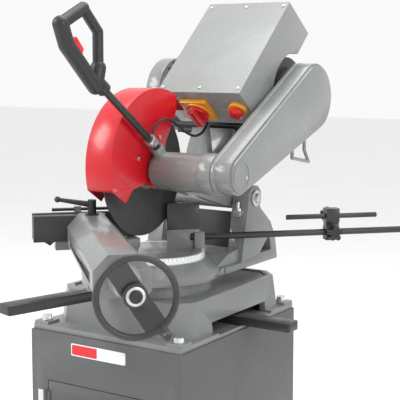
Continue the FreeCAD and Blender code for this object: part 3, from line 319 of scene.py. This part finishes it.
# ---------------------------------------------------------------- small pieces added to the frame
label_white = plastic("label_white", (0.78, 0.78, 0.77), 0.34, 1500, 0.05)


def built(name, verts, faces, material, body):
    """A new piece from points and faces in the row frame, riding with one body."""
    mesh = bpy.data.meshes.new(name)
    mesh.from_pydata(verts, [], faces)
    mesh.validate()
    piece = bpy.data.objects.new(name, mesh)
    scene.collection.objects.link(piece)
    mesh.materials.append(material)
    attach(piece, body)
    return piece


def turned(name, start, axis, profile, material, body, sides=40):
    """Solid turned about an axis from (distance along it, radius) points, closed flat at both ends."""
    side = axis.orthogonal().normalized()
    other = axis.cross(side)
    verts, faces = [], []
    for along, radius in profile:
        for i in range(sides):
            turn = 2 * math.pi * i / sides
            verts.append(start + axis * along + (side * math.cos(turn) + other * math.sin(turn)) * radius)
    for row in range(len(profile) - 1):
        near, far = row * sides, (row + 1) * sides
        for i in range(sides):
            after = (i + 1) % sides
            faces.append((near + i, near + after, far + after, far + i))
    faces.append(tuple(reversed(range(sides))))
    faces.append(tuple((len(profile) - 1) * sides + i for i in range(sides)))
    piece = built(name, verts, faces, material, body)
    for polygon in piece.data.polygons[:-2]:
        polygon.use_smooth = True
    return piece


def plate(name, low, high, corner, material, body):
    """Thin plate on the cabinet's front with rounded corners."""
    left, right = low[0] + corner, high[0] - corner
    bottom, top = low[2] + corner, high[2] - corner
    outline = []
    for quarter, (x, z) in enumerate(((right, top), (left, top), (left, bottom), (right, bottom))):
        for step in range(7):
            turn = math.radians(90 * quarter + 15 * step)
            outline.append((x + corner * math.cos(turn), z + corner * math.sin(turn)))
    count = len(outline)
    verts = [(x, y, z) for y in (high[1], low[1]) for x, z in outline]
    faces = [tuple(range(count)), tuple(reversed(range(count, 2 * count)))]
    faces += [(i, i + count, (i + 1) % count + count, (i + 1) % count) for i in range(count)]
    return built(name, verts, faces, material, body)


WHEEL_OUT, WHEEL_ALONG, WHEEL_UP = 0.797, -0.174, 0.908
hub = VISE_OUT * WHEEL_OUT + VISE_ALONG * WHEEL_ALONG + Z_AXIS * WHEEL_UP
turned("wheel_ring", hub - VISE_OUT * 0.0088, VISE_OUT,
       [(0, 0.0195), (0.002, 0.0195), (0.003, 0.0185), (0.003, 0.0135)], zinc, "wheel")
turned("wheel_cap", hub - VISE_OUT * 0.0058, VISE_OUT,
       [(0, 0.0133), (0.002, 0.0133), (0.004, 0.012), (0.005, 0.009), (0.0038, 0.007), (0.0038, 0.001)],
       black_plastic, "wheel")

FRONT = -0.230
PLATE_LEFT, PLATE_RIGHT, PLATE_LOW, PLATE_HIGH = -0.104, 0.070, 0.598, 0.630
BAND_INSET, RIVET_INSET = 0.003, 0.004
BAND_RIGHT = -0.020
plate("name_plate", (PLATE_LEFT, FRONT - 0.0012, PLATE_LOW), (PLATE_RIGHT, FRONT + 0.0002, PLATE_HIGH),
      0.003, label_white, "frame")
plate("name_plate_band", (PLATE_LEFT + BAND_INSET, FRONT - 0.0018, PLATE_LOW + BAND_INSET),
      (BAND_RIGHT, FRONT - 0.0010, PLATE_HIGH - BAND_INSET), 0.002, knob_red, "frame")
rivets = [(x, z) for x in (PLATE_LEFT + RIVET_INSET, PLATE_RIGHT - RIVET_INSET)
          for z in (PLATE_LOW + RIVET_INSET, PLATE_HIGH - RIVET_INSET)]
for index, (x, z) in enumerate(rivets):
    turned("name_plate_rivet_%d" % index, Vector((x, FRONT - 0.0010, z)), -Y_AXIS,
           [(0, 0.0018), (0.0010, 0.0018), (0.0015, 0.0012), (0.0017, 0.0004)], zinc, "frame", 16)


# ---------------------------------------------------------------- stage, light and camera
def stage_and_light():
    bpy.ops.mesh.primitive_plane_add(size=40, location=(0, 0, 0))
    floor = bpy.context.object
    floor.name = "floor"
    s = Shader("floor", (0.88, 0.88, 0.88), 0.7)
    s.colour(s.ramp(s.noise(2, 2), [(0.3, (0.87, 0.87, 0.87)), (0.7, (0.89, 0.89, 0.89))]))
    floor.data.materials.append(s.mat)
    world = bpy.data.worlds.new("studio")
    scene.world = world
    scene.view_settings.view_transform = "Standard"
    world.use_nodes = True
    world.node_tree.nodes["Background"].inputs["Color"].default_value = (1, 1, 1, 1)
    world.node_tree.nodes["Background"].inputs["Strength"].default_value = 0.95
    lamps = (("key", (-2.6, -2.6, 3.4), 2.0, 120),
             ("side", (3.4, -1.0, 2.2), 1.8, 35),
             ("top", (0.2, 0.6, 3.6), 2.4, 60))
    for name, place, size, power in lamps:
        lamp = bpy.data.lights.new(name, "AREA")
        lamp.size = size
        lamp.energy = power
        holder = bpy.data.objects.new(name, lamp)
        holder.location = place
        aim = Vector((0, 0, 0.95)) - Vector(place)
        holder.rotation_euler = aim.to_track_quat("-Z", "Y").to_euler()
        scene.collection.objects.link(holder)


CAMERA_AT = (1.587, -2.248, 1.360)
CAMERA_TURN, CAMERA_DOWN = math.radians(32.7), math.radians(5.56)


def camera():
    data = bpy.data.cameras.new("camera")
    data.lens = 92.9
    data.shift_y = -0.1
    data.sensor_width = 36
    holder = bpy.data.objects.new("camera", data)
    holder.location = CAMERA_AT
    holder.rotation_euler = (math.pi / 2 - CAMERA_DOWN, 0, CAMERA_TURN)
    scene.collection.objects.link(holder)
    scene.camera = holder


stage_and_light()
camera()
